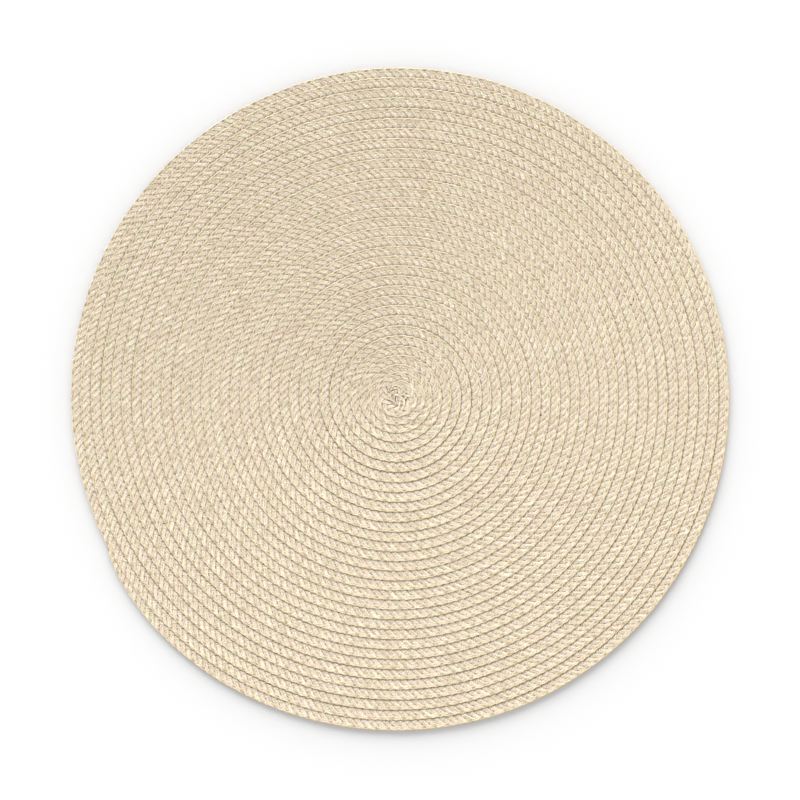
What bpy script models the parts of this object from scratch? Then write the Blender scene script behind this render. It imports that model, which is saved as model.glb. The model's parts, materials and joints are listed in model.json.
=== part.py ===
"""A round braided placemat: one flat braid wound flat into a spiral and sewn turn to turn.

Each turn's outer edge laps over the inner edge of the next turn out, so the top face climbs outwards
across every turn and steps down at its outer edge, like shingles. The mat is a single closed solid:
a strip with the braid's section is wound from the centre to the tail, its two long edges are welded
where turns meet, and the rim is carried down to the flat underside. +X is the mat's right and +Y its
top as it lies on a table, seen from above, and the braid winds outwards clockwise.
"""

import math

import bmesh
import bpy
import numpy as np
from mathutils import Vector

MM = 0.001

# How the braid is wound, seen from above. A turn count of 1 is the end of the first turn.
STEPS_A_TURN = 72
FIRST_TURN = 1.0
TAIL_TURN = 34 + 19 / STEPS_A_TURN  # where the tail is tucked away, at the mat's lower left
ANGLE_AT_TURN_0 = math.radians(300)
TAIL_TAPER_TURNS = 5 / STEPS_A_TURN  # the tail narrows over this last stretch
TAIL_TAPER_POWER = 2.5  # and it stays full for most of it

# Radius of a turn's outer edge: the turns are tight at the start and widest near the rim.
# (turn, radius in mm)
WINDING = (
    (0, 0.8),
    (1, 5.7),
    (2, 10.8),
    (3, 15.9),
    (5, 26.2),
    (7, 37.4),
    (9, 49.2),
    (12, 66.2),
    (15, 83.3),
    (19, 105.5),
    (23, 127.7),
    (27, 150.5),
    (31, 173.8),
    (35, 197.4),
)

# The hand-wound turns are not quite concentric: their centre drifts from the first turn to the last.
FIRST_CENTRE = (-0.7 * MM, 1.5 * MM)
LAST_CENTRE = (-1.5 * MM, 1.5 * MM)

# Section of a turn. The crest is the raised outer edge, and the step is the slope down from it.
CREST_SHARE = 0.84  # of the turn's width, from its inner side
FOOT_HEIGHT = 2.5 * MM  # of the step, above the table
CREST_HEIGHT = 3.6 * MM
CENTRE_HEIGHT = 2.2 * MM  # the small dip in the middle of the first turn
# The turns lie tilted, so the last one's outer edge stands clear of the table: how far in it rests on it.
RIM_UNDERCUT = 2.5 * MM

MERGE = 1e-6
SMOOTH_ANGLE = math.radians(40)
CREAM = (0.80, 0.70, 0.52, 1.0)


def remove_everything():
    """Empty the scene, so that the script gives the same result each time it is run."""
    for old in list(bpy.data.objects):
        bpy.data.objects.remove(old, do_unlink=True)


def edge_radius(turn):
    """Radius of the outer edge of a turn, which is also the inner edge of the next one out."""
    turns, radii = zip(*WINDING)
    return float(np.interp(turn, turns, radii)) * MM


def tail_share(turn):
    """How much of its full width the braid shows: all of it, but for the tail, which runs out to nothing."""
    left = min(1.0, max(0.0, (TAIL_TURN - turn) / TAIL_TAPER_TURNS))
    return 1 - (1 - left) ** TAIL_TAPER_POWER


def outer_radius(turn):
    """Radius of a turn's outer edge with the tail's taper."""
    inner = edge_radius(turn - 1)
    return inner + (edge_radius(turn) - inner) * tail_share(turn)


def place(turn, radius, height):
    """The point at a turn's angle and radius, about the centre that the turns have there."""
    share = turn / TAIL_TURN
    angle = ANGLE_AT_TURN_0 - 2 * math.pi * turn
    x, y = (a + (b - a) * share for a, b in zip(FIRST_CENTRE, LAST_CENTRE))
    return Vector((x + radius * math.cos(angle), y + radius * math.sin(angle), height))


def strip_point(turn, row):
    """A point of the braid's strip. The rows are its inner edge, its crest and its outer edge."""
    inner, outer = edge_radius(turn - 1), outer_radius(turn)
    if row == 0:
        return place(turn - 1, inner, FOOT_HEIGHT)
    if row == 1:
        return place(turn, inner + CREST_SHARE * (outer - inner), CREST_HEIGHT)
    return place(turn, outer, FOOT_HEIGHT)


def wind_strip(bm):
    """Lay a straight strip of quads and wind it into the spiral, welded along the turns' edges."""
    columns = round((TAIL_TURN - FIRST_TURN) * STEPS_A_TURN)
    rows = 2
    bmesh.ops.create_grid(bm, x_segments=columns, y_segments=rows, size=1.0)
    for vert in bm.verts:
        column = round((vert.co.x + 1) / 2 * columns)
        row = round((vert.co.y + 1) / 2 * rows)
        if column == columns:
            row = 0  # the tail's end is a point
        vert.co = strip_point(FIRST_TURN + column / STEPS_A_TURN, row)
    bmesh.ops.remove_doubles(bm, verts=bm.verts, dist=MERGE)


def open_edges(bm, nearest, furthest):
    """The edges with a face on one side only, between two distances from the middle of the mat."""
    return [
        edge
        for edge in bm.edges
        if edge.is_boundary and all(nearest <= vert.co.xy.length <= furthest for vert in edge.verts)
    ]


def fill(bm, edges, height):
    """Close a ring of edges with a fan about a point at the given height."""
    face = bmesh.ops.contextual_create(bm, geom=edges)["faces"][0]
    middle = bmesh.ops.poke(bm, faces=[face])["verts"][0]
    middle.co.z = height


def close_rim(bm):
    """Carry the mat's rim down to the table and close the flat underside."""
    rim = open_edges(bm, edge_radius(TAIL_TURN - 2), edge_radius(TAIL_TURN + 1))
    below = bmesh.ops.extrude_edge_only(bm, edges=rim)["geom"]
    for vert in (g for g in below if isinstance(g, bmesh.types.BMVert)):
        inward = 1 - RIM_UNDERCUT / vert.co.xy.length
        vert.co = Vector((vert.co.x * inward, vert.co.y * inward, 0.0))
    fill(bm, [g for g in below if isinstance(g, bmesh.types.BMEdge) and g.is_boundary], 0.0)


def cloth_material(name, colour):
    """A plain matt cotton finish."""
    material = bpy.data.materials.new(name)
    material.use_nodes = True
    shader = material.node_tree.nodes["Principled BSDF"]
    shader.inputs["Base Color"].default_value = colour
    shader.inputs["Roughness"].default_value = 0.9
    shader.inputs["Metallic"].default_value = 0.0
    return material


def braided_mat(collection):
    """The whole mat, as one solid."""
    bm = bmesh.new()
    wind_strip(bm)
    fill(bm, open_edges(bm, 0.0, edge_radius(2)), CENTRE_HEIGHT)
    close_rim(bm)
    bmesh.ops.recalc_face_normals(bm, faces=bm.faces)
    mesh = bpy.data.meshes.new("braided_mat")
    bm.to_mesh(mesh)
    bm.free()
    mesh.shade_smooth()
    mesh.set_sharp_from_angle(angle=SMOOTH_ANGLE)
    mesh.materials.append(cloth_material("cream_cotton", CREAM))
    mat = bpy.data.objects.new("braided_mat", mesh)
    collection.objects.link(mat)
    return mat


def main():
    remove_everything()
    collection = bpy.data.collections.new("round_braided_placemat")
    bpy.context.scene.collection.children.link(collection)
    braided_mat(collection)


main()
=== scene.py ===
"""Round braided placemat, dressed: every yarn of the flat plait, the sewing and the underside.

The mat is one flat braid of five strands, wound outwards clockwise and sewn turn to turn. Each turn's
outer edge laps over the inner side of the next turn out. A place on the braid is given by how far along
the braid it is, by its depth, which is the distance from the braid's inner edge, and by its height above
the table. Lengths are in metres.
"""

import json
import logging
import math
from dataclasses import dataclass, field
from enum import Enum

import bmesh
import bpy
import numpy as np
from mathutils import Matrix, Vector

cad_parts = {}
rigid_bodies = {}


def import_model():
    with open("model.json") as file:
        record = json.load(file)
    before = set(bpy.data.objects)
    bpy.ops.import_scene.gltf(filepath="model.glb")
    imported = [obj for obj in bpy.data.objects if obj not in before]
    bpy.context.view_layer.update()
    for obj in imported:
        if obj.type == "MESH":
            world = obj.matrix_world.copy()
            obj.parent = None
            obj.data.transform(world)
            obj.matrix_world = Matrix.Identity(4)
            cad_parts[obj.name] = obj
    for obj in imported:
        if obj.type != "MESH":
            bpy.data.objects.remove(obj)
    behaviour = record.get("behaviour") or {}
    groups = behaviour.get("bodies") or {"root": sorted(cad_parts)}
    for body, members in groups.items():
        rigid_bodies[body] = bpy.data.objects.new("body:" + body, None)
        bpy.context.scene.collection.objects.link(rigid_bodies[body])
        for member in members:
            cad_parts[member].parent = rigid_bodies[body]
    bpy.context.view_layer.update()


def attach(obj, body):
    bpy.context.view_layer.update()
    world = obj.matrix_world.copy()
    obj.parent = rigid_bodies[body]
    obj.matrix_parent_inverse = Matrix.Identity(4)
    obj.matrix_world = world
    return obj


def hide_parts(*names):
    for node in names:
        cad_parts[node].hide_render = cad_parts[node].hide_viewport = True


LOG = logging.getLogger("braided_placemat")
MM = 0.001
Array = np.ndarray
BODY = "root"
SOLID = "braided_mat"
MERGE = 1e-6  # nearer than this, in metres or in turns, counts as the same place


# ---------------------------------------------------------------- helpers


def linear(colour: str) -> tuple[float, float, float, float]:
    """Turn an sRGB hex colour into the linear values that a shader takes.

    Args:
        colour: Six hex digits with a leading #.

    Returns:
        Linear red, green, blue and an alpha of 1.
    """
    parts = [int(colour[i : i + 2], 16) / 255 for i in (1, 3, 5)]
    red, green, blue = (c / 12.92 if c <= 0.04045 else ((c + 0.055) / 1.055) ** 2.4 for c in parts)
    return red, green, blue, 1.0


def add_node(
    tree: bpy.types.NodeTree,
    kind: str,
    settings: dict[str, object] | None = None,
    **links: object,
) -> bpy.types.Node:
    """Add a node with its settings and its inputs.

    Args:
        tree: The material's or the world's node tree.
        kind: The node's type name without the ShaderNode in front.
        settings: The node's own properties.
        **links: Values, output sockets, or nodes that stand for their first output in use. Each goes by
            its input's name, with _ for a space, or by i and the input's number.

    Returns:
        The new node.
    """
    node = tree.nodes.new("ShaderNode" + kind)
    for name, value in (settings or {}).items():
        setattr(node, name, value)
    for name, value in links.items():
        numbered = name[0] == "i" and name[1:].isdigit()
        socket = node.inputs[int(name[1:]) if numbered else name.replace("_", " ")]
        if isinstance(value, bpy.types.Node):
            value = next(output for output in value.outputs if output.enabled)
        if isinstance(value, bpy.types.NodeSocket):
            tree.links.new(value, socket)
        else:
            socket.default_value = value
    return node


def unit(vectors: Array) -> Array:
    """The vectors at a length of 1."""
    return vectors / np.maximum(np.linalg.norm(vectors, axis=-1, keepdims=True), 1e-12)


def column(table: tuple[tuple[float, ...], ...], index: int) -> Array:
    """One column of a table of millimetres, in metres."""
    return np.array([row[index] for row in table]) * MM


# ---------------------------------------------------------------- the form of the mat


class Side(Enum):
    """A face of the mat."""

    TOP = 1
    UNDERSIDE = -1


@dataclass(frozen=True)
class Winding:
    """How the braid is wound, seen from above. A turn count of 1 is the end of the first turn."""

    first_turn: float = 1.0
    tail_turn: float = 34 + 19 / 72
    angle_at_turn_0: float = math.radians(300)
    tail_taper_turns: float = 5 / 72
    tail_taper_power: float = 2.5
    # The turns about the eye are off round, and the last one draws in by up to 0.9 mm on part of its way.
    # (turn, radius of its outer edge in mm)
    edges: tuple[tuple[float, float], ...] = (
        (0, 0.8),
        (1, 5.5),
        (1.33, 7.0),
        (1.58, 9.2),
        (1.83, 11.7),
        (2.08, 12.2),
        (2.33, 13.5),
        (2.58, 14.3),
        (2.83, 16.0),
        (3.08, 16.6),
        (3.33, 18.0),
        (3.58, 18.5),
        (3.83, 20.1),
        (5, 26.2),
        (7, 37.4),
        (9, 49.2),
        (12, 66.2),
        (15, 83.3),
        (19, 105.5),
        (23, 127.7),
        (27, 150.5),
        (31, 173.8),
        (33.25, 187.0),
        (33.33, 187.3),
        (33.42, 187.2),
        (33.5, 187.75),
        (33.58, 188.15),
        (33.63, 188.65),
        (33.68, 189.4),
        (33.75, 190.3),
        (33.83, 190.5),
        (34.0, 191.4),
        (34.1, 192.0),
        (34.2, 192.2),
        (34.26, 192.9),
        (35, 197.4),
    )
    first_centre: tuple[float, float] = (-0.7 * MM, 1.5 * MM)
    last_centre: tuple[float, float] = (-1.5 * MM, 1.5 * MM)
    # The hand-guided edge wanders a little. (waves a turn, size in mm)
    wander: tuple[tuple[float, float], ...] = ((2.3, 0.05), (6.7, 0.05), (13.1, 0.045), (29.3, 0.03))
    wander_phase: float = 1.7  # radians from one of those to the next
    table_step: float = 1 / 360
    edge_blur: float = 0.1  # turns over which the table's corners are rounded
    # The eye of the spiral lies off its middle, and the first turns give way to it.
    eye_offset: tuple[float, float] = (2.7 * MM, -0.4 * MM)
    eye_reach: float = 9 * MM
    eye_fade: float = 1.4  # the power with which that ends
    least_radius: float = 0.4 * MM  # of a yarn

    def edge_radius(self, turn: Array) -> Array:
        """Find the radius of a turn's outer edge, without the tail's taper.

        Args:
            turn: Turn counts.

        Returns:
            The radii.
        """
        turns = np.array([row[0] for row in self.edges])
        blur = self.edge_blur * np.array([-1, 0, 1])
        radius = np.interp(np.asarray(turn)[..., None] + blur, turns, column(self.edges, 1)).mean(axis=-1)
        for number, (waves, size) in enumerate(self.wander):
            radius = radius + size * MM * np.sin(2 * np.pi * waves * turn + self.wander_phase * number)
        return radius

    def outer_radius(self, turn: Array) -> Array:
        """Find the radius of a turn's outer edge; the tail runs in under the turn before it.

        Args:
            turn: Turn counts.

        Returns:
            The radii.
        """
        left = np.clip((self.tail_turn - turn) / self.tail_taper_turns, 0, 1)
        inner = self.edge_radius(turn - 1)
        return inner + (self.edge_radius(turn) - inner) * (1 - (1 - left) ** self.tail_taper_power)

    def place(self, turn: Array, radius: Array, height: Array) -> Array:
        """Points of the mat.

        Args:
            turn: Turn counts.
            radius: Distances from the turns' centre.
            height: Heights above the table.

        Returns:
            The points, with x, y and z along the last axis.
        """
        turn, radius, height = np.broadcast_arrays(turn, radius, height)
        share = turn / self.tail_turn
        angle = self.angle_at_turn_0 - 2 * np.pi * turn
        pulled = np.clip(1 - radius / self.eye_reach, 0, 1) ** self.eye_fade
        ends = zip(self.first_centre, self.last_centre, self.eye_offset)
        x, y = (first + (last - first) * share + off * pulled for first, last, off in ends)
        return np.stack([x + radius * np.cos(angle), y + radius * np.sin(angle), height], axis=-1)

    def outward(self, turn: Array) -> Array:
        """Level unit vectors that point away from the middle of the mat."""
        angle = self.angle_at_turn_0 - 2 * np.pi * turn
        return np.stack([np.cos(angle), np.sin(angle), np.zeros_like(angle)], axis=-1)


@dataclass(frozen=True)
class BraidSection:
    """The braid cut across: its width, what shows of it, and its height in a turn."""

    width: float = 8.4 * MM
    lap: float = 2.7 * MM  # what the turn before hides
    # Height of the top of the yarns and of the underside. The first turns have no turn over their inner
    # side, so that stands higher there.
    # (depth, top in most turns, top in the first turns, underside), all in mm
    table: tuple[tuple[float, ...], ...] = (
        (0.0, 1.90, 2.10, 0.10),
        (1.2, 2.10, 2.30, 0.02),
        (2.7, 2.68, 2.70, 0.25),
        (3.0, 2.81, 2.85, 0.37),
        (4.2, 2.88, 2.95, 0.60),
        (5.6, 2.99, 3.05, 0.95),
        (7.0, 3.20, 3.24, 1.35),
        (7.8, 3.42, 3.42, 1.65),
        (8.1, 3.42, 3.42, 1.75),
        (8.4, 3.33, 3.33, 1.90),
    )
    start_height: float = 2.9 * MM  # of the first yarns, which lie level about the eye
    # (turn by which they have passed into the next, turns that this takes)
    level_turns: tuple[float, float] = (1.7, 0.25)
    first_turns: tuple[float, float] = (3.0, 0.6)
    slope_step: float = 0.3 * MM

    def early(self, turn: Array) -> Array:
        """How far a place counts as one of the first turns, from 0 to 1."""
        return np.clip((self.first_turns[0] - turn) / self.first_turns[1], 0, 1)

    def top(self, depth: Array, turn: Array) -> Array:
        """Find the height of the top of the yarns.

        Args:
            depth: Distances from the braid's inner edge.
            turn: Turn counts.

        Returns:
            The heights above the table.
        """
        most, first = (np.interp(depth, column(self.table, 0), column(self.table, i)) for i in (1, 2))
        height = most + (first - most) * self.early(turn)
        level = np.clip((self.level_turns[0] - turn) / self.level_turns[1], 0, 1)
        return height + (self.start_height - height) * level

    def bottom(self, depth: Array) -> Array:
        """Height of the underside, which is the same in every turn."""
        return np.interp(depth, column(self.table, 0), column(self.table, 3))


class Braid:
    """The wound braid as a whole: turns lengths along it and depths across it into points."""

    def __init__(self, winding: Winding, section: BraidSection) -> None:
        """Work out how far along the braid each turn is.

        Args:
            winding: The spiral.
            section: The braid's section.
        """
        self.winding = winding
        self.section = section
        start = winding.first_turn
        self.turns = np.arange(start, winding.tail_turn, winding.table_step)
        middle = winding.outer_radius(self.turns) - section.width / 2
        steps = 2 * np.pi * middle * winding.table_step
        self.lengths = np.concatenate([[0], np.cumsum(steps[1:])])
        self.length = float(self.lengths[-1])

    def turn_at(self, along: Array) -> Array:
        """The turn at a length along the braid."""
        return np.interp(along, self.lengths, self.turns)

    def radius_at(self, turn: Array, depth: Array) -> Array:
        """Distance from the turns' centre."""
        radius = self.winding.outer_radius(turn) - (self.section.width - depth)
        return np.maximum(radius, self.winding.least_radius)

    def height_at(self, turn: Array, depth: Array, side: Side) -> Array:
        """Height of the yarns' outer side on the top or the underside."""
        return self.section.top(depth, turn) if side is Side.TOP else self.section.bottom(depth)

    def point(self, turn: Array, depth: Array, height: Array) -> Array:
        """Points of the mat for places on the braid."""
        return self.winding.place(turn, self.radius_at(turn, depth), height)

    def facing(self, turn: Array, depth: Array, side: Side) -> Array:
        """Find which way the braid's face looks, from the slope of its section.

        Args:
            turn: Turn counts.
            depth: Distances from the braid's inner edge.
            side: The top or the underside.

        Returns:
            Unit vectors that stand on the face.
        """
        step = self.section.slope_step
        rise = self.height_at(turn, depth + step, side) - self.height_at(turn, depth - step, side)
        normal = -self.winding.outward(turn) * (rise / (2 * step))[..., None]
        normal[..., 2] += 1
        return unit(normal) * side.value


# ---------------------------------------------------------------- finishes


def new_material(name: str) -> tuple[bpy.types.Material, bpy.types.NodeTree]:
    """Make a material with nothing in its node tree.

    Args:
        name: The material's name.

    Returns:
        The material and its node tree.
    """
    material = bpy.data.materials.new(name)
    material.use_nodes = True
    material.node_tree.nodes.clear()
    return material, material.node_tree


@dataclass(frozen=True)
class SpunCotton:
    """Soft spun cotton yarn in ivory and cream: its fibres give a matt, chalky surface with a faint bloom."""

    name: str = "spun_cotton_yarn"
    ivory: str = "#fcf9fa"
    cream: str = "#eae2d4"
    rose: str = "#fff3ec"
    straw: str = "#ffffee"
    # Painted shade: the brown mixed in where shade falls, in gaps, pockets, needle holes, crevices under the
    # laps and at the yarns' ends
    gap: str = "#9a865c"
    shade_between_yarns: str = "#e0d6ba"  # painted shade: the colour that the grooves between two yarns are darkened and tinted to
    roughness: float = 0.9
    sheen: float = 0.2
    # The two plies of such yarn turn once in about 2 mm, which is 3 pixels of the photo, so it shows just so.
    twist_length: float = 1.9 * MM
    twist_slant: float = 0.45  # turns of the plies from a yarn's middle to its edge
    ply_shade: tuple[float, float] = (0.84, 1.06)  # the light between the plies and on them
    # Fibres are 0.02 mm thick, far too fine to show, so their clumps are drawn at 0.3 mm.
    fibre_clump: float = 0.3 * MM
    fibre_shade: tuple[float, float] = (0.90, 1.05)
    slub: float = 0.8 * MM  # the yarn's thick and thin places
    thin_place: str = "#ebe4d2"
    thick_place: tuple[float, ...] = (1.08, 1.07, 1.06, 1.0)  # it catches more light than the rest
    groove_power: float = 0.6  # under 1, so that the yarns are broad and the grooves between them narrow
    bump: float = 0.10 * MM
    # Heights in the bump, where the fibres' clumps count 1
    ply_height: float = 0.5
    groove_height: float = 1.5

    def make(self) -> bpy.types.Material:
        """Build the material.

        Returns:
            The yarn's material, which reads the yarns' own colours and their painted shade from their mesh.
        """
        material, tree = new_material(self.name)
        own = add_node(tree, "Attribute", {"attribute_name": YarnMesh.colour_name})
        shares = add_node(tree, "SeparateColor", Color=own).outputs
        hue = add_node(tree, "ValToRGB", Fac=shares["Green"])
        low, high = hue.color_ramp.elements
        low.color, high.color = linear(self.straw), linear(self.rose)
        place = add_node(tree, "TexCoord").outputs["Object"]
        clumps, slubs = (
            add_node(tree, "TexNoise", Vector=place, Scale=1 / size, Detail=detail, Roughness=0.6)
            for size, detail in ((self.fibre_clump, 2.0), (self.slub, 1.5))
        )
        lay = add_node(tree, "UVMap", {"uv_map": YarnMesh.lay_name})
        lay = add_node(tree, "SeparateXYZ", Vector=lay).outputs
        twist, groove = self.twist(tree, lay["X"], lay["Y"]), self.groove(tree, lay["Y"])
        # (pattern, the part of its range that counts, what that is mapped onto)
        ranges = (
            (slubs, (0.34, 0.66), (0.0, 1.0)),
            (twist, (-1.0, 0.4), self.ply_shade),
            (clumps, (0.3, 0.7), self.fibre_shade),
            (groove, (0.15, 0.75), (0.0, 1.0)),
        )
        thick, plied, fibres, rounded = (
            add_node(tree, "MapRange", i0=pattern, i1=least, i2=most, i3=dark, i4=light)
            for pattern, (least, most), (dark, light) in ranges
        )
        # The Mix node takes its two colours at its inputs 6 and 7. (share of the second, first, second)
        mixes = (
            (shares["Red"], linear(self.cream), linear(self.ivory)),
            (thick, linear(self.thin_place), self.thick_place),
            # Painted shade: the rounding darkens the grooves between the yarns towards the tint of shade
            # between yarns
            (rounded, linear(self.shade_between_yarns), (1.0, 1.0, 1.0, 1.0)),
        )
        blend = {"data_type": "RGBA"}
        colour, uneven, sides = (
            add_node(tree, "Mix", blend, i0=share, i6=first, i7=second)
            for share, first, second in mixes
        )
        for shade in (hue, uneven, plied, fibres, sides):
            colour = add_node(tree, "Mix", blend | {"blend_type": "MULTIPLY"}, i0=1.0, i6=colour, i7=shade)
        # Painted shade: the blue share mixes in the gap colour where shade falls between and under the yarns
        colour = add_node(tree, "Mix", blend, i0=shares["Blue"], i6=colour, i7=linear(self.gap))
        relief = clumps
        for pattern, height in ((twist, self.ply_height), (groove, self.groove_height)):
            relief = add_node(tree, "Math", {"operation": "MULTIPLY_ADD"}, i0=pattern, i1=height, i2=relief)
        shader = add_node(
            tree,
            "BsdfPrincipled",
            Base_Color=colour,
            Roughness=self.roughness,
            Normal=add_node(tree, "Bump", Height=relief, Strength=0.5, Distance=self.bump),
            Sheen_Weight=self.sheen,
            Sheen_Roughness=0.5,
            Specular_IOR_Level=0.2,
        )
        add_node(tree, "OutputMaterial", Surface=shader)
        return material

    def twist(
        self, tree: bpy.types.NodeTree, along: bpy.types.NodeSocket, across: bpy.types.NodeSocket
    ) -> bpy.types.Node:
        """Slant the yarn's plies across it.

        Args:
            tree: The material's node tree.
            along: How far along the yarn a point is, in turns of its plies.
            across: How far across it the point is, from -1 to 1.

        Returns:
            The plies as a wave from -1 to 1.
        """
        slant = self.twist_slant
        phase = add_node(tree, "Math", {"operation": "MULTIPLY_ADD"}, i0=across, i1=slant, i2=along)
        turned = add_node(tree, "Math", {"operation": "MULTIPLY"}, i0=phase, i1=2 * math.pi)
        return add_node(tree, "Math", {"operation": "SINE"}, i0=turned)

    def groove(self, tree: bpy.types.NodeTree, across: bpy.types.NodeSocket) -> bpy.types.Node:
        """Round each yarn of a strip.

        Args:
            tree: The material's node tree.
            across: How far across the yarns a point is, with their edges at the odd numbers.

        Returns:
            The rounding, from 0 between two yarns to 1 on top of one.
        """
        turned = add_node(tree, "Math", {"operation": "MULTIPLY"}, i0=across, i1=math.pi / 2)
        wave = add_node(tree, "Math", {"operation": "COSINE"}, i0=turned)
        size = add_node(tree, "Math", {"operation": "ABSOLUTE"}, i0=wave)
        return add_node(tree, "Math", {"operation": "POWER"}, i0=size, i1=self.groove_power)


@dataclass(frozen=True)
class StudioPaper:
    """White uncoated paper: its open fibres scatter the light, so it is matt, with next to no gloss."""

    name: str = "white_studio_paper"
    white: str = "#e4e4e4"
    roughness: float = 0.9
    gloss: float = 0.1

    def make(self) -> bpy.types.Material:
        """Build the material.

        Returns:
            The paper's material.
        """
        material, tree = new_material(self.name)
        looks = {"Roughness": self.roughness, "Specular_IOR_Level": self.gloss}
        shader = add_node(tree, "BsdfPrincipled", Base_Color=linear(self.white), **looks)
        add_node(tree, "OutputMaterial", Surface=shader)
        return material


# ---------------------------------------------------------------- yarns as meshes


class YarnMesh:
    """Gathers strips of yarn into one joined mesh. A strip is a rounded roof of three rows of points."""

    colour_name = "yarn_colour_and_shade"
    lay_name = "yarn_lay"
    bake_name = "OFBake"
    rows = 3
    cell_length = 4  # how many times longer than wide a strip's cell on the bake map is
    cell_margin = (0.08, 0.12)  # the share of it left free at each end and at each side

    def __init__(self, name: str) -> None:
        """Start an empty mesh.

        Args:
            name: The piece's name.
        """
        self.name = name
        self.rng = np.random.default_rng(sum(name.encode()))
        self.points: list[Array] = []
        self.colours: list[Array] = []
        self.lays: list[Array] = []

    def add(
        self,
        crown: Array,
        facing: Array,
        half_width: Array,
        drop: Array,
        colour: Array,
        across: tuple[float, ...] = (-1.0, 0.0, 1.0),
    ) -> None:
        """Add strips of yarn that all have the same number of stations.

        Args:
            crown: The middle line of each strip, shaped (strips, stations, 3).
            facing: Unit vectors that point out of the strip, shaped like crown.
            half_width: Half the strip's width, which fits (strips, stations).
            drop: How far the strip's sides lie below its middle, which fits (strips, stations).
            colour: Shares of ivory, of hue and of gap colour, which paint the yarns' tone and shade, shaped
                (strips, stations, 3).
            across: Where the rows lie across the yarns, with a yarn's edges at the odd numbers.
        """
        ahead = np.gradient(crown, axis=1)
        sideways = unit(np.cross(ahead, facing))
        upright = unit(np.cross(sideways, ahead))
        shape = crown.shape[:2]
        half_width = np.broadcast_to(half_width, shape)[..., None]
        drop = np.broadcast_to(drop, shape)[..., None]
        left = crown - sideways * half_width - upright * drop
        right = crown + sideways * half_width - upright * drop
        self.points.append(np.stack([left, crown, right], axis=2))
        self.colours.append(np.repeat(colour[:, :, None, :], self.rows, axis=2))
        steps = np.linalg.norm(np.diff(crown, axis=1), axis=-1)
        along = np.concatenate([np.zeros((shape[0], 1)), np.cumsum(steps, axis=1)], axis=1)
        # Yarns that lie next to each other in pairs are twisted in step.
        phase = np.repeat(self.rng.random((shape[0] // 2 + 1, 1)), 2, axis=0)[: shape[0]]
        along = np.repeat((along / SpunCotton.twist_length + phase)[:, :, None], self.rows, axis=2)
        lay = np.broadcast_to(np.array(across), along.shape)
        self.lays.append(np.stack([along, lay], axis=-1))

    def finish(self, material: bpy.types.Material) -> bpy.types.Object:
        """Make the object.

        Args:
            material: The yarn's material.

        Returns:
            The joined piece, which rides on the mat's body.
        """
        points, quads, first = [], [], 0
        for block in self.points:
            strips, stations, rows = block.shape[:3]
            index = first + np.arange(strips * stations * rows).reshape(strips, stations, rows)
            near, far = index[:, :-1], index[:, 1:]
            corners = [near[..., :-1], near[..., 1:], far[..., 1:], far[..., :-1]]
            quads.append(np.stack(corners, axis=-1).reshape(-1, 4))
            points.append(block.reshape(-1, 3))
            first += strips * stations * rows
        mesh = quad_mesh(self.name, np.concatenate(points), np.concatenate(quads))
        colours = np.concatenate([c.reshape(-1, 3) for c in self.colours])
        attribute = mesh.color_attributes.new(self.colour_name, "FLOAT_COLOR", "POINT")
        attribute.data.foreach_set("color", np.c_[colours, np.ones(len(colours))].ravel())
        corner_points = np.concatenate(quads).ravel()
        self.write_map(mesh, self.bake_name, self.bake_places()[corner_points])
        lays = np.concatenate([lay.reshape(-1, 2) for lay in self.lays])
        self.write_map(mesh, self.lay_name, lays[corner_points])
        mesh.materials.append(material)
        return piece(self.name, mesh)

    def bake_places(self) -> Array:
        """Give each strip a cell of its own on a square map.

        Returns:
            The place on the map of each point.
        """
        total = sum(len(block) for block in self.points)
        columns = math.ceil(math.sqrt(total / self.cell_length))
        rows = math.ceil(total / columns)
        end, edge = self.cell_margin
        across = np.linspace(edge, 1 - edge, self.rows)[None, None, :]
        places, first = [], 0
        for block in self.points:
            strips, stations = block.shape[:2]
            along = np.linspace(end, 1 - end, stations)[None, :, None]
            number = np.arange(first, first + strips)[:, None, None]
            u, v = (number % columns + along) / columns, (number // columns + across) / rows
            u, v = np.broadcast_arrays(u, v)
            places.append(np.stack([u, v], axis=-1).reshape(-1, 2))
            first += strips
        return np.concatenate(places)

    @staticmethod
    def write_map(mesh: bpy.types.Mesh, name: str, places: Array) -> None:
        """Add a UV map with a place for each face corner."""
        mesh.uv_layers.new(name=name).data.foreach_set("uv", places.astype(np.float32).ravel())


def quad_mesh(name: str, points: Array, quads: Array) -> bpy.types.Mesh:
    """Make a smooth mesh of four-sided faces.

    Args:
        name: The mesh's name.
        points: Points, one to a row.
        quads: The four point numbers of each face.

    Returns:
        The mesh.
    """
    mesh = bpy.data.meshes.new(name)
    mesh.vertices.add(len(points))
    mesh.vertices.foreach_set("co", points.astype(np.float32).ravel())
    mesh.loops.add(quads.size)
    mesh.loops.foreach_set("vertex_index", quads.astype(np.int32).ravel())
    mesh.polygons.add(len(quads))
    mesh.polygons.foreach_set("loop_start", np.arange(0, quads.size, 4, dtype=np.int32))
    mesh.update(calc_edges=True)
    mesh.shade_smooth()
    return mesh


def piece(name: str, mesh: bpy.types.Mesh) -> bpy.types.Object:
    """Put a mesh in the scene as a piece of the mat.

    Args:
        name: The piece's name.
        mesh: Its mesh.

    Returns:
        The piece, which rides on the mat's body.
    """
    made = bpy.data.objects.new(name, mesh)
    bpy.context.scene.collection.objects.link(made)
    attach(made, BODY)
    return made


# ---------------------------------------------------------------- the sub-assemblies


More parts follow.
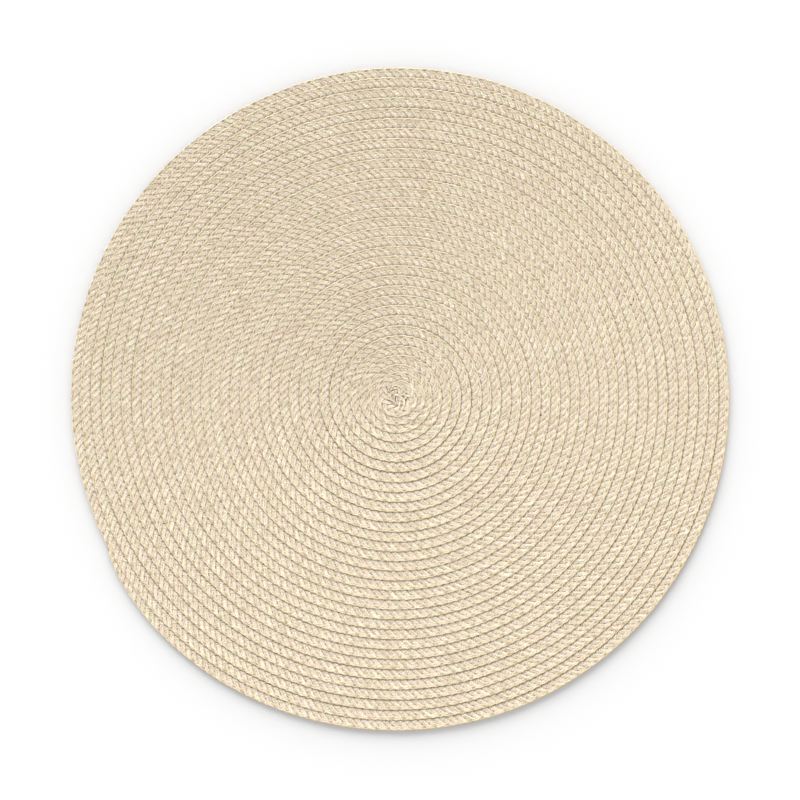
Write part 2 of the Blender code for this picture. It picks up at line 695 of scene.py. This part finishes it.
@dataclass
class Sewing:
    """The seam that holds each turn on the next one out: the needle's holes and the thread between them."""

    braid: Braid
    stitch: float = 6.6 * MM
    unevenness: float = 0.22 * MM  # spread of the holes' places
    inset: float = 1.15 * MM  # of the holes, from the braid's outer edge
    bow: float = 0.4 * MM  # how far a stitch bows outwards between its holes
    pull: float = 0.65 * MM  # how deep the yarns are drawn down at a hole
    spread: tuple[float, float] = (0.75 * MM, 0.45 * MM)  # of that dent, along and across the braid
    half_width: float = 0.24 * MM
    drop: float = 0.16 * MM  # how far the thread's sides lie below its middle
    first_turn: float = 1.55  # where the first stitch is
    # (share of the way between two holes, height over the yarns in mm, shares of ivory, hue and gap colour,
    # the gap colour being painted shade where the thread goes into a hole)
    thread: tuple[tuple[float, ...], ...] = (
        (0.0, -0.65, 0.1, 0.4, 0.80),
        (0.1, -0.22, 0.1, 0.4, 0.25),
        (0.5, 0.10, 0.2, 0.4, 0.00),
        (0.9, -0.22, 0.1, 0.4, 0.25),
        (1.0, -0.65, 0.1, 0.4, 0.80),
    )
    # The hollow at a hole. (mm past the hole, mm further in than it, height over the yarns in mm)
    slit: tuple[tuple[float, ...], ...] = ((-1.0, 0.12, -0.28), (0.0, 0.02, -0.15), (1.0, -0.08, -0.28))
    slit_half_width: float = 0.3 * MM
    # Painted shade: the slits are strips coloured dark for the shade in the needle's hollows
    slit_shade: tuple[float, ...] = (0.1, 0.45, 0.66)
    seed: int = 5
    holes: Array = field(init=False)

    def __post_init__(self) -> None:
        """Place the holes, as evenly as a machine guided by hand does."""
        count = int(self.braid.length / self.stitch)
        uneven = np.random.default_rng(self.seed).normal(0, self.unevenness, count)
        self.holes = np.arange(count) * self.stitch + uneven

    def dent(self, along: Array, inset: Array) -> Array:
        """Find how much the nearest hole draws each place down.

        Args:
            along: Lengths along the braid.
            inset: Distances from its outer edge.

        Returns:
            The shares of the full depth, from 0 to 1.
        """
        number = np.clip(np.rint(along / self.stitch).astype(int), 0, len(self.holes) - 1)
        off = (along - self.holes[number]) / self.spread[0]
        return np.exp(-0.5 * (off**2 + ((inset - self.inset) / self.spread[1]) ** 2))

    def build(self, material: bpy.types.Material) -> bpy.types.Object:
        """Lay the thread and mark the hollows that the needle left between the yarns, with sunken strips of
        painted shade.

        Args:
            material: The yarn's material.

        Returns:
            The piece.
        """
        mesh = YarnMesh("sewing_thread")
        start = np.interp(self.first_turn, self.braid.turns, self.braid.lengths)
        holes = self.holes[int(np.searchsorted(self.holes, start)) :]
        share, raised = np.array(self.thread)[:, 0], column(self.thread, 1)
        along = holes[:-1, None] + share * np.diff(holes)[:, None]
        bowed = self.bow * 4 * share * (1 - share)  # an arch with its top midway
        colour = np.array(self.thread)[:, 2:]
        self.lay(mesh, along, self.inset - bowed, raised, colour, (self.half_width, self.drop))
        along = self.holes[:, None] + column(self.slit, 0)
        inset, raised = self.inset + column(self.slit, 1), column(self.slit, 2)
        self.lay(mesh, along, inset, raised, np.array(self.slit_shade), (self.slit_half_width, 0.0))
        return mesh.finish(material)

    def lay(
        self,
        mesh: YarnMesh,
        along: Array,
        inset: Array,
        raised: Array,
        colour: Array,
        size: tuple[float, float],
    ) -> None:
        """Lay strips over the yarns, near the braid's outer edge.

        Args:
            mesh: Takes the strips.
            along: Lengths along the braid, a row to a strip.
            inset: Distance of each station from the braid's outer edge.
            raised: Height of each station over the yarns.
            colour: Colour shares, of all or of each station.
            size: Half the strips' width, and how far their sides lie below their middle.
        """
        turn = self.braid.turn_at(along)
        depth = np.broadcast_to(self.braid.section.width - inset, turn.shape)
        crown = self.braid.point(turn, depth, self.braid.height_at(turn, depth, Side.TOP) + raised)
        facing = self.braid.facing(turn, depth, Side.TOP)
        mesh.add(crown, facing, *size, np.broadcast_to(colour, (*turn.shape, 3)))


@dataclass(frozen=True)
class ArmForm:
    """How the yarns of an arm lie at each station, from the side of the braid to where its two sides meet.

    raised is in metres, the ivory and gap colour shares paint light and shade, and the others weigh the
    plait's own values.
    """

    inward: bool  # whether the arm runs inwards as it runs ahead
    raised: Array  # height over the braid's top
    shingle: Array  # how far the height follows the arm's slope towards the one ahead
    tilt: Array | float  # how far the yarn's facing follows that slope
    crown: Array
    ivory: Array  # added to the yarn's own share: painted light and shade, lower where it turns round the edge or comes from under the turn before
    # Painted shade: share of gap colour, darkest where the yarns come from under the turn before, turn round
    # the edge and end
    gap: Array
    sink: Array | float = 0.0
    lift: Array | float = 0.0  # weighs the rim lift
    # Weighs the painted shade between neighbouring arms, at their sides
    pocket_shade: Array | float = 0.0
    drop: Array | float = 1.0  # weighs the yarns' drop
    width: Array | float = 1.0  # weighs the yarns' half width
    rising: tuple[float, ...] = ()  # degrees over the level that the first stations face, outwards


OUTER_ARM = ArmForm(
    inward=True,
    raised=np.array([-1.15, -0.32, 0.11, 0.08, 0.0, -0.10, 0.04, 0.0]) * MM,
    lift=np.array([0, 0.5, 1.0, 0.8, 0.2, 0, 0, 0]),
    shingle=np.array([0, 0, 0.1, 0.4, 0.8, 0.8, 0.25, 0]),
    tilt=np.array([0, 0, 0.1, 0.4, 0.8, 0.8, 0.25, 0]),
    crown=np.array([0, 0, 0.3, 0.9, 1.3, 1.5, 1.5, 0]),
    # Painted light and shade: cream and gap colour where the yarns turn round the edge and at their tips, a
    # little more ivory on top
    ivory=np.array([-0.9, -0.5, -0.4, -0.35, -0.2, 0.05, 0.1, 0]),
    gap=np.array([0.5, 0.15, 0, 0, 0, 0, 0, 0.8]),
    pocket_shade=np.array([0, 0, 0.3, 1.0, 1.0, 0.3, 0, 0]),
    drop=np.array([0.6, 0.5, 0.35, 0.5, 0.8, 1.0, 1.0, 1.0]),
    width=np.array([0.8, 0.8, 0.88, 0.96, 1.0, 1.0, 1.0, 1.0]),
    rising=(30.0, 70.0),
)
INNER_ARM = ArmForm(
    inward=False,
    raised=np.array([-0.1, 0, 0, 0]) * MM,
    shingle=np.array([1.0, 1.0, 0.6, 0]),
    tilt=1.0,
    crown=np.array([1.0, 1.0, 0.7, 0]),
    # Painted shade where the yarns come from under the turn before and at their tips, painted light between
    ivory=np.array([-0.2, 0.1, 0.1, 0]),
    gap=np.array([0.75, 0.03, 0.1, 0.8]),
    sink=np.array([0, 0.3, 1.0, 1.0]),
)


@dataclass
class Plait:
    """The five-strand plait: arms of four yarns that slant in from both edges and meet at its middle."""

    braid: Braid
    sewing: Sewing
    pitch: float = 4.13 * MM  # along the braid, between one arm and the next on the same side
    yarns: int = 4
    yarn_drop: float = 0.3 * MM  # how far a yarn's sides lie below its middle
    # At the braid's edge each arm turns round a centre, its yarns side by side on ellipses
    edge_margin: float = 0.32 * MM  # from the edge to the outermost yarn's middle line
    turn_radius: float = 2.2 * MM  # of the arm's middle, across the braid
    turn_stretch: float = 1.75  # how much longer the ellipses are along the braid
    turn_angles: tuple[float, ...] = (-62.0, -25.0, 10.0, 38.0)  # of the stations before the straight
    yarn_nesting: float = 0.75  # how close the yarns lie in the turn, next to the straight
    # Past the turn, how far from the line where the two sides of the plait meet
    outer_reach: tuple[float, ...] = (-0.95 * MM, -0.10 * MM, 0.34 * MM)
    inner_reach: tuple[float, ...] = (-0.5 * MM, -0.35 * MM, 0.35 * MM)
    inner_start: float = 2.1 * MM  # from the braid's middle, and well under the turn before
    first_lapped_turn: float = 2.75  # the turns before it show the whole inner side
    bare_margin: float = 0.2 * MM  # how near their inner edge the yarns start there
    crown: float = 0.22 * MM  # how much lower an arm's sides lie than its middle
    shingle: float = 0.15  # slope of an arm towards the one ahead of it, which lies over it
    rim_lift: float = 0.1  # slope of the turning yarns towards the middle of the mat
    sink: float = 0.14 * MM  # how much lower the inner arms lie where the outer ones lie over them
    last_sink: float = 0.6 * MM  # how much lower the last yarn of a piece lies, next to the piece after
    lowest: float = 0.25 * MM  # least height of the top's yarns above the table
    pocket_shade: float = 0.22  # painted shade: share of gap colour at the arms' sides
    hole_shade: float = 0.15  # and at the needle's holes
    pair_pull: float = 0.012  # share of the pitch by which the yarns of an arm draw together in pairs
    # Unevenness, as the spread of each draw. Where there are two, they are a yarn's and an arm's.
    offset_spread: tuple[float, float] = (0.045 * MM, 0.05 * MM)
    rise_spread: float = 0.035 * MM
    width_spread: float = 0.09
    ivory: float = 0.72
    ivory_spread: tuple[float, float] = (0.2, 0.04)
    hue: float = 0.5
    hue_spread: tuple[float, float] = (0.22, 0.12)
    # The underside, one strip to an arm: how far from the braid's middle its stations are, and how high
    under_reach: tuple[float, float] = (-0.2 * MM, 1.4 * MM)
    under_ends: tuple[float, float] = (3.15 * MM, 3.95 * MM)  # of the outer and of the inner strips
    under_raised: tuple[float, ...] = (0.7 * MM, 0.0, 0.25 * MM)
    under_drop: float = 0.4 * MM
    under_colour: tuple[float, ...] = (0.5, 0.5, 0.05)
    under_spread: float = 0.12
    under_gap_shade: float = 0.8  # painted shade: share of gap colour at the middle of the braid, between its two sides
    under_lay: tuple[float, ...] = (-3.0, 1.0, 5.0)  # a strip shows four yarns side by side
    under_lowest: float = 0.02 * MM
    outer_form: ArmForm = OUTER_ARM
    inner_form: ArmForm = INNER_ARM
    seed: int = 11
    pieces: int = 5
    rng: np.random.Generator = field(init=False)

    def __post_init__(self) -> None:
        """Start the random draws for the yarns' unevenness."""
        self.rng = np.random.default_rng(self.seed)

    @property
    def arms(self) -> int:
        """The number of arms on each side of the braid."""
        return int(self.braid.length / self.pitch)

    @property
    def arm_half_width(self) -> float:
        """Half the width of an arm, which slants at 45 degrees."""
        return self.pitch / math.sqrt(2) / 2

    def offsets_even(self) -> Array:
        """Where the yarns of an arm lie from its middle, measured along the braid."""
        even = (np.arange(self.yarns) + 0.5) / self.yarns - 0.5
        return (even + self.pair_pull * np.array([1, -1, 1, -1])) * self.pitch

    def offsets(self, count: int) -> Array:
        """Draw where the yarns of some arms lie, as they are never quite even."""
        drawn = self.offsets_even() + self.rng.normal(0, self.offset_spread[0], (count, self.yarns))
        return (drawn + self.rng.normal(0, self.offset_spread[1], (count, 1))).reshape(-1, 1)

    def half_widths(self, count: int) -> Array:
        """Draw the half widths of some yarns."""
        return self.arm_half_width / self.yarns * (1 + self.rng.normal(0, self.width_spread, (count, 1)))

    def colours(self, arms: int, light: Array, gap: Array) -> Array:
        """Draw the colours of the yarns of some arms.

        Args:
            arms: How many arms.
            light: What each station adds to the share of ivory, as painted light and shade.
            gap: Share of gap colour at each station, which is painted shade.

        Returns:
            Colour shares, shaped (arms times yarns, stations, 3).
        """
        drawn = []
        for mean, (of_yarn, of_arm) in ((self.ivory, self.ivory_spread), (self.hue, self.hue_spread)):
            yarns = mean + self.rng.normal(0, of_yarn, (arms, self.yarns))
            drawn.append((yarns + self.rng.normal(0, of_arm, (arms, 1))).reshape(-1, 1))
        ivory, hue, gap = np.broadcast_arrays(drawn[0] + light, drawn[1], gap)
        return np.clip(np.stack([ivory, hue, gap], axis=-1), 0, 1)

    def tilted(self, facing: Array, turn: Array, side: Array, form: ArmForm) -> Array:
        """Lean the yarns of an arm apart, as on a rounded bundle, and towards the arm ahead.

        Args:
            facing: Unit vectors that stand on the braid's face.
            turn: The turns of the same places.
            side: Where each yarn lies across its arm, from -1 to 1.
            form: The arm's form.

        Returns:
            The leaned unit vectors.
        """
        outward = self.braid.winding.outward(turn)
        ahead = np.stack([outward[..., 1], -outward[..., 0], outward[..., 2]], axis=-1)
        across = (ahead + (outward if form.inward else -outward)) / math.sqrt(2)
        slope = 2 * self.crown * side / self.arm_half_width
        lean = np.broadcast_to(self.shingle * form.tilt, turn.shape)
        leaned = unit(facing + across * slope[..., None] + ahead * lean[..., None])
        rising = np.radians(form.rising)
        turning = len(form.rising)
        leaned[:, :turning] = outward[:, :turning] * np.cos(rising)[:, None]
        leaned[:, :turning, 2] += np.sin(rising)
        return leaned

    def lay(self, mesh: YarnMesh, form: ArmForm, along: Array, inset: Array, offset: Array) -> None:
        """Lay the yarns of some arms.

        Args:
            mesh: Takes the yarns.
            form: The arms' form.
            along: Length along the braid of each yarn's stations.
            inset: Distance of each station from the braid's outer edge.
            offset: Where each yarn lies from its arm's middle, along the braid.
        """
        side = offset / (self.pitch / 2)
        dent = self.sewing.dent(along, inset)
        slope = self.rim_lift * form.lift - self.shingle * form.shingle
        raised = form.raised - self.sink * form.sink + slope * offset
        raised[-1] -= self.last_sink
        raised = raised - self.crown * side**2 * form.crown - self.sewing.pull * dent
        raised = raised + self.rng.normal(0, self.rise_spread, inset.shape)
        turn = self.braid.turn_at(along)
        depth = self.braid.section.width - inset
        height = np.maximum(self.braid.height_at(turn, depth, Side.TOP) + raised, self.lowest)
        facing = self.tilted(self.braid.facing(turn, depth, Side.TOP), turn, side, form)
        # Painted shade: gap colour at the arm's own stations, at its sides and at the needle's holes
        gap = form.gap + self.pocket_shade * side**2 * form.pocket_shade + self.hole_shade * dent
        colour = self.colours(len(offset) // self.yarns, form.ivory, gap)
        width = self.half_widths(len(offset)) * form.width
        mesh.add(self.braid.point(turn, depth, height), facing, width, self.yarn_drop * form.drop, colour)

    def outer_arms(self, mesh: YarnMesh, arm: Array) -> None:
        """Lay the arms that run in from the outer edge to the braid's middle.

        Args:
            mesh: Takes the yarns.
            arm: The arms' numbers.
        """
        half = self.braid.section.width / 2
        offset = self.offsets(len(arm))
        start = np.repeat(arm * self.pitch, self.yarns)[:, None]
        meet = half - offset / 2  # how far from the outer edge the yarn's middle line meets the other side
        nested = self.yarn_nesting / math.sqrt(2)
        centre = self.edge_margin + self.turn_radius + self.offsets_even()[-1] * nested
        radius = self.turn_radius + offset * nested
        end = math.atan(self.turn_stretch)  # where the turn has come round to the arm's slant
        turning = np.array([*np.radians(self.turn_angles), end])
        curve = centre - radius * np.cos(turning)
        inset = np.concatenate([curve, meet + np.array(self.outer_reach)], axis=1)
        line = start + offset - half + inset
        last = len(self.turn_angles)
        bent = line[:, last : last + 1] + self.turn_stretch * radius * (np.sin(turning) - math.sin(end))
        self.lay(mesh, self.outer_form, np.concatenate([bent, line[:, last + 1 :]], axis=1), inset, offset)

    def inner_arms(self, mesh: YarnMesh, arm: Array, deepest: float) -> None:
        """Lay the arms that come up from the inner side and dip under the next outer arm.

        Args:
            mesh: Takes the yarns.
            arm: The arms' numbers.
            deepest: How far in from the braid's middle they start.
        """
        offset = self.offsets(len(arm))
        start = np.repeat(arm * self.pitch, self.yarns)[:, None] + self.pitch / 2
        meet = -offset / 2  # how far out from the braid's middle the yarn's line meets the other side
        before, near, past = self.inner_reach
        out = [np.full_like(meet, -deepest), (meet + before - deepest) / 2, meet + near, meet + past]
        out = np.concatenate(out, axis=1)
        self.lay(mesh, self.inner_form, start + offset + out, self.braid.section.width / 2 - out, offset)

    def build(self, material: bpy.types.Material) -> list[bpy.types.Object]:
        """Lay the top of the whole braid, in pieces that follow each other along it.

        Args:
            material: The yarn's material.

        Returns:
            The pieces, from the middle to the rim.
        """
        made = []
        lapped = int(np.interp(self.first_lapped_turn, self.braid.turns, self.braid.lengths) / self.pitch)
        bare_start = self.braid.section.width / 2 - self.bare_margin
        bounds = np.linspace(0, self.arms, self.pieces + 1).astype(int)
        for number, (low, high) in enumerate(zip(bounds[:-1], bounds[1:]), start=1):
            mesh = YarnMesh(f"plaited_yarns_{number}")
            arm = np.arange(low, high)
            self.outer_arms(mesh, arm)
            for part, deepest in ((arm[arm < lapped], bare_start), (arm[arm >= lapped], self.inner_start)):
                if len(part):
                    self.inner_arms(mesh, part, deepest)
            made.append(mesh.finish(material))
        return made

    def build_underside(self, material: bpy.types.Material) -> bpy.types.Object:
        """Lay the underside, one rounded strip to an arm. Nothing of it shows from above.

        Args:
            material: The yarn's material.

        Returns:
            The piece.
        """
        mesh = YarnMesh("underside_plait")
        arm = np.arange(self.arms)
        for side, start, end in ((1, 0.5, self.under_ends[0]), (-1, 0.0, self.under_ends[1])):
            reach = np.array([*self.under_reach, end])
            along = (arm[:, None] + start) * self.pitch + reach
            turn = self.braid.turn_at(along)
            depth = np.broadcast_to(self.braid.section.width / 2 + reach * side, turn.shape)
            height = self.braid.height_at(turn, depth, Side.UNDERSIDE) + np.array(self.under_raised)
            crown = self.braid.point(turn, depth, np.maximum(height, self.under_lowest))
            facing = self.braid.facing(turn, depth, Side.UNDERSIDE)
            colour = np.tile(self.under_colour, (*turn.shape, 1))
            colour[..., :2] += self.rng.normal(0, self.under_spread, (len(arm), 1, 2))
            colour[:, 0, 2] = self.under_gap_shade
            colour = np.clip(colour, 0, 1)
            mesh.add(crown, facing, self.arm_half_width, self.under_drop, colour, self.under_lay)
        return mesh.finish(material)


@dataclass
class BraidStart:
    """The braid's first end in the eye of the spiral: cut yarns bent down into it and three across it."""

    winding: Winding
    eye: tuple[float, float] = (2.0 * MM, 1.0 * MM)
    hole: float = 0.7 * MM  # radius of the eye that the cut yarns leave open
    # Where the cut yarns point, and how long they are. (degrees, mm)
    spokes: tuple[tuple[float, float], ...] = tuple((20.0 + 24.0 * i, 2.0 + 0.5 * (i % 3)) for i in range(15))
    bend: float = 0.06  # radians that they turn aside in a millimetre
    # (share of the length, height in mm, shares of ivory, hue and gap colour, the gap colour being painted
    # shade where the cut yarns go down into the eye)
    stations: tuple[tuple[float, ...], ...] = (
        (0.0, 1.3, 0.5, 0.55, 0.9),
        (0.2, 2.6, 0.6, 0.50, 0.1),
        (0.6, 2.8, 0.6, 0.50, 0.0),
        (1.0, 2.3, 0.5, 0.50, 0.4),
    )
    spoke_size: tuple[float, float] = (0.42 * MM, 0.25 * MM)  # half width, and how low the sides lie
    # Yarns that cross the first turn. Points in mm with their height.
    cords: tuple[tuple[tuple[float, float, float], ...], ...] = (
        ((1.6, 0.6, 2.4), (2.9, -1.6, 3.3), (2.1, -5.2, 3.6), (0.7, -7.8, 3.0)),
        ((0.9, 0.0, 2.4), (0.1, -2.6, 3.3), (-0.5, -5.4, 3.6), (-1.5, -8.4, 2.6)),
        ((2.4, 1.3, 2.4), (4.0, 1.6, 3.2), (5.6, 1.5, 3.4), (7.2, 2.2, 3.0)),
    )
    cord_size: tuple[float, float] = (0.5 * MM, 0.35 * MM)
    cord_shares: tuple[float, ...] = (1.2, 1.0, 0.6)  # of the cut yarns' colour shares

    def build(self, material: bpy.types.Material) -> bpy.types.Object:
        """Lay the yarns.

        Args:
            material: The yarn's material.

        Returns:
            The piece.
        """
        mesh = YarnMesh("braid_start")
        stations = np.array(self.stations)
        angle = np.radians([spoke[0] for spoke in self.spokes])[:, None]
        reach = self.hole + (column(self.spokes, 1)[:, None] - self.hole) * stations[:, 0]
        bent = angle + self.bend * reach / MM
        height = np.broadcast_to(column(self.stations, 1), reach.shape)
        x, y = self.eye
        spokes = np.stack([x + reach * np.cos(bent), y + reach * np.sin(bent), height], axis=-1)
        cords = np.array(self.cords) * MM
        sizes = (self.spoke_size, self.cord_size)
        for points, size, shares in zip((spokes, cords), sizes, (1.0, np.array(self.cord_shares))):
            up = np.broadcast_to(np.array([0.0, 0.0, 1.0]), points.shape)
            mesh.add(points, up, *size, np.broadcast_to(stations[:, 2:] * shares, points.shape))
        return mesh.finish(material)


@dataclass
class BraidBody:
    """What lies under the surface yarns: the braid's own thickness, as one closed sheet of lapped turns."""

    braid: Braid
    cover: float = 0.75 * MM  # the surface yarns' thickness on the top
    early_cover: float = 1.0 * MM  # how much deeper the sheet lies in the first turns, round the eye
    under_cover: float = 0.5 * MM
    edge_inset: float = 0.45 * MM
    foot_inset: float = 0.05 * MM  # how much further in the step's foot is
    # Near the tail's tip the sheet draws in, and the surface yarns are alone.
    tip_start: float = 0.02  # turns before the tail's end
    tip_fade: float = 0.012  # turns that this takes
    tip_inset: float = 1.8 * MM
    # A turn's underside ends where the next one out comes in under it, and the last turn's at the rim.
    rim_start: float = 1.05  # turns before the tail's end
    rim_fade: float = 0.12  # turns that this takes
    lap_margin: float = 0.1 * MM  # how far short of the whole lap it ends
    least_radius: float = 0.5 * MM  # of the rows, next to the eye
    least_foot_radius: float = 0.3 * MM
    steps_a_turn: int = 72
    # Depths of the rows between the foot of the turn before and the turn's own edge, in mm
    top_depths: tuple[float, ...] = (4.2, 5.6, 7.2, 8.0)
    under_depths: tuple[float, ...] = (0.3, 3.0, 5.5)
    innermost_rim_turn: float = 5.0  # open edges further in than this are the eye's
    # Shares of ivory, hue and gap colour: painted shade, as the sheet only shows as the dark between the
    # yarns.
    colour: tuple[float, ...] = (0.2, 0.45, 0.85, 1.0)

    def inset_at(self, turn: float) -> float:
        """How far the sheet stays in from a turn's edge."""
        past = (turn - self.braid.winding.tail_turn + self.tip_start) / self.tip_fade
        return self.edge_inset + self.tip_inset * min(1.0, max(0.0, past))

    def cover_at(self, turn: float) -> float:
        """How deep the sheet lies under the top of the yarns."""
        return self.cover + self.early_cover * float(self.braid.section.early(turn))

    def rows(self, turn: float, side: Side) -> list[Array]:
        """The points across a turn, from the foot at its inner side to the foot at its outer side.

        Args:
            turn: The turn.
            side: The top or the underside.

        Returns:
            The points in order.
        """
        section, winding = self.braid.section, self.braid.winding
        inner, outer = winding.edge_radius(turn - 1), winding.outer_radius(turn)
        share = float((outer - inner) / (winding.edge_radius(turn) - inner))
        points = [self.foot(turn - 1, side)]
        depths = self.top_depths if side is Side.TOP else self.under_depths
        for depth in (d * MM for d in depths):
            height = self.braid.height_at(turn, np.array(depth), side)
            height += -self.cover_at(turn) if side is Side.TOP else self.under_cover
            radius = outer - max((section.width - depth) * share, self.inset_at(turn))
            points.append(winding.place(turn, max(float(radius), self.least_radius), height))
        points.append(self.foot(turn, side))
        return points

    def foot(self, turn: float, side: Side) -> Array:
        """Find the foot of the step between a turn and the next one out.

        Args:
            turn: The turn.
            side: The top or the underside.

        Returns:
            The point.
        """
        section, winding = self.braid.section, self.braid.winding
        inset = self.inset_at(turn) + self.foot_inset
        if side is Side.TOP:
            height = self.braid.height_at(turn + 1, np.array(section.lap), side) - self.cover_at(turn + 1)
        else:
            rim = min(1.0, max(0.0, (turn - winding.tail_turn + self.rim_start) / self.rim_fade))
            inset += (section.lap - self.lap_margin - inset) * (1 - rim)
            height = self.braid.height_at(turn, np.array(section.width - inset), side) + self.under_cover
        radius = float(winding.outer_radius(turn)) - inset
        return winding.place(turn, max(radius, self.least_foot_radius), height)

    def build(self, material: bpy.types.Material) -> bpy.types.Object:
        """Make the closed sheet.

        Args:
            material: The yarn's material.

        Returns:
            The piece.
        """
        winding = self.braid.winding
        bm = bmesh.new()
        turns = np.arange(winding.first_turn, winding.tail_turn + MERGE, 1 / self.steps_a_turn)
        for side in Side:
            rows = [[bm.verts.new(p) for p in self.rows(float(t), side)] for t in turns]
            for near, far in zip(rows[:-1], rows[1:]):
                for i in range(len(near) - 1):
                    bm.faces.new((near[i], near[i + 1], far[i + 1], far[i]))
        bmesh.ops.remove_doubles(bm, verts=bm.verts, dist=MERGE)
        middle = float(winding.edge_radius(self.innermost_rim_turn))
        rims = [edge for edge in bm.edges if edge.is_boundary and edge.verts[0].co.xy.length > middle]
        bmesh.ops.bridge_loops(bm, edges=rims)
        bmesh.ops.holes_fill(bm, edges=[edge for edge in bm.edges if edge.is_boundary], sides=0)
        bmesh.ops.triangulate(bm, faces=[face for face in bm.faces if len(face.verts) > 4])
        bmesh.ops.recalc_face_normals(bm, faces=bm.faces)
        LOG.info("body: %d open edges", sum(edge.is_boundary for edge in bm.edges))
        mesh = bpy.data.meshes.new("braid_body")
        bm.to_mesh(mesh)
        bm.free()
        mesh.shade_smooth()
        colours = mesh.color_attributes.new(YarnMesh.colour_name, "FLOAT_COLOR", "POINT")
        colours.data.foreach_set("color", np.tile(self.colour, len(mesh.vertices)))
        mesh.materials.append(material)
        return piece("braid_body", mesh)


@dataclass
class Studio:
    """A white paper floor, broad soft light from the far side and a camera straight above."""

    across: float = 459.5 * MM  # what the picture takes in
    aim: tuple[float, float] = (0.3 * MM, -0.7 * MM)
    distance: float = 1.5
    sensor: float = 0.036
    paper: float = 6.0  # half the floor's width
    key_azimuth: float = math.radians(105)
    key_height: float = math.radians(24)
    key_spread: float = math.radians(56)
    key_strength: float = 3.5
    # Brightness of the white room straight above, and how much brighter its walls are low down.
    sky: float = 0.66
    walls: float = 1.8
    wall_falloff: float = 3.0  # the power with which that fades upwards

    def build(self) -> None:
        """Make the floor, the lights and the camera."""
        self.floor()
        self.window()
        self.room()
        self.camera()

    def floor(self) -> None:
        """Lay the paper."""
        bm = bmesh.new()
        bmesh.ops.create_grid(bm, x_segments=8, y_segments=8, size=self.paper)
        mesh = bpy.data.meshes.new("paper_floor")
        bm.to_mesh(mesh)
        bm.free()
        mesh.materials.append(StudioPaper().make())
        floor = bpy.data.objects.new("paper_floor", mesh)
        bpy.context.scene.collection.objects.link(floor)

    def window(self) -> None:
        """Set the broad light."""
        data = bpy.data.lights.new("window", "SUN")
        data.angle, data.energy = self.key_spread, self.key_strength
        light = bpy.data.objects.new("window", data)
        level = math.cos(self.key_height)
        x, y = level * math.cos(self.key_azimuth), level * math.sin(self.key_azimuth)
        towards = Vector((x, y, math.sin(self.key_height)))
        light.rotation_euler = (-towards).to_track_quat("-Z", "Y").to_euler()
        light.location = towards
        bpy.context.scene.collection.objects.link(light)

    def room(self) -> None:
        """Set the white surroundings, brightest low down."""
        world = bpy.data.worlds.new("white_room")
        world.use_nodes = True
        tree = world.node_tree
        place = add_node(tree, "TexCoord").outputs["Generated"]
        height = add_node(tree, "SeparateXYZ", Vector=place).outputs["Z"]
        low = add_node(tree, "Math", {"operation": "SUBTRACT", "use_clamp": True}, i0=1.0, i1=height)
        near = add_node(tree, "Math", {"operation": "POWER"}, i0=low, i1=self.wall_falloff)
        light = add_node(tree, "Math", {"operation": "MULTIPLY_ADD"}, i0=near, i1=self.walls, i2=self.sky)
        background = tree.nodes["Background"].inputs
        background["Color"].default_value = (1, 1, 1, 1)
        tree.links.new(light.outputs[0], background["Strength"])
        bpy.context.scene.world = world

    def camera(self) -> None:
        """Look straight down, with the mat as large as in the photo."""
        data = bpy.data.cameras.new("camera")
        data.sensor_width = self.sensor / MM
        data.lens = self.sensor / MM * self.distance / self.across
        camera = bpy.data.objects.new("camera", data)
        camera.location = (*self.aim, self.distance)
        bpy.context.scene.collection.objects.link(camera)
        bpy.context.scene.camera = camera
        bpy.context.scene.view_settings.view_transform = "Standard"


def main() -> None:
    """Build the mat and its setting, and report each piece."""
    logging.basicConfig(level=logging.INFO, format="%(message)s")
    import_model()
    braid = Braid(Winding(), BraidSection())
    yarn = SpunCotton().make()
    sewing = Sewing(braid)
    plait = Plait(braid, sewing)
    pieces = plait.build(yarn)
    pieces.append(sewing.build(yarn))
    pieces.append(BraidStart(braid.winding).build(yarn))
    pieces.append(plait.build_underside(yarn))
    body = BraidBody(braid).build(yarn)
    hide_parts(SOLID)
    total = 0
    for made in [*pieces, body]:
        made.data.calc_loop_triangles()
        count = len(made.data.loop_triangles)
        LOG.info("%s: %d triangles", made.name, count)
        total += count
    LOG.info("braid %.2f m, %d triangles", braid.length, total)
    Studio().build()


if __name__ == "__main__":
    main()
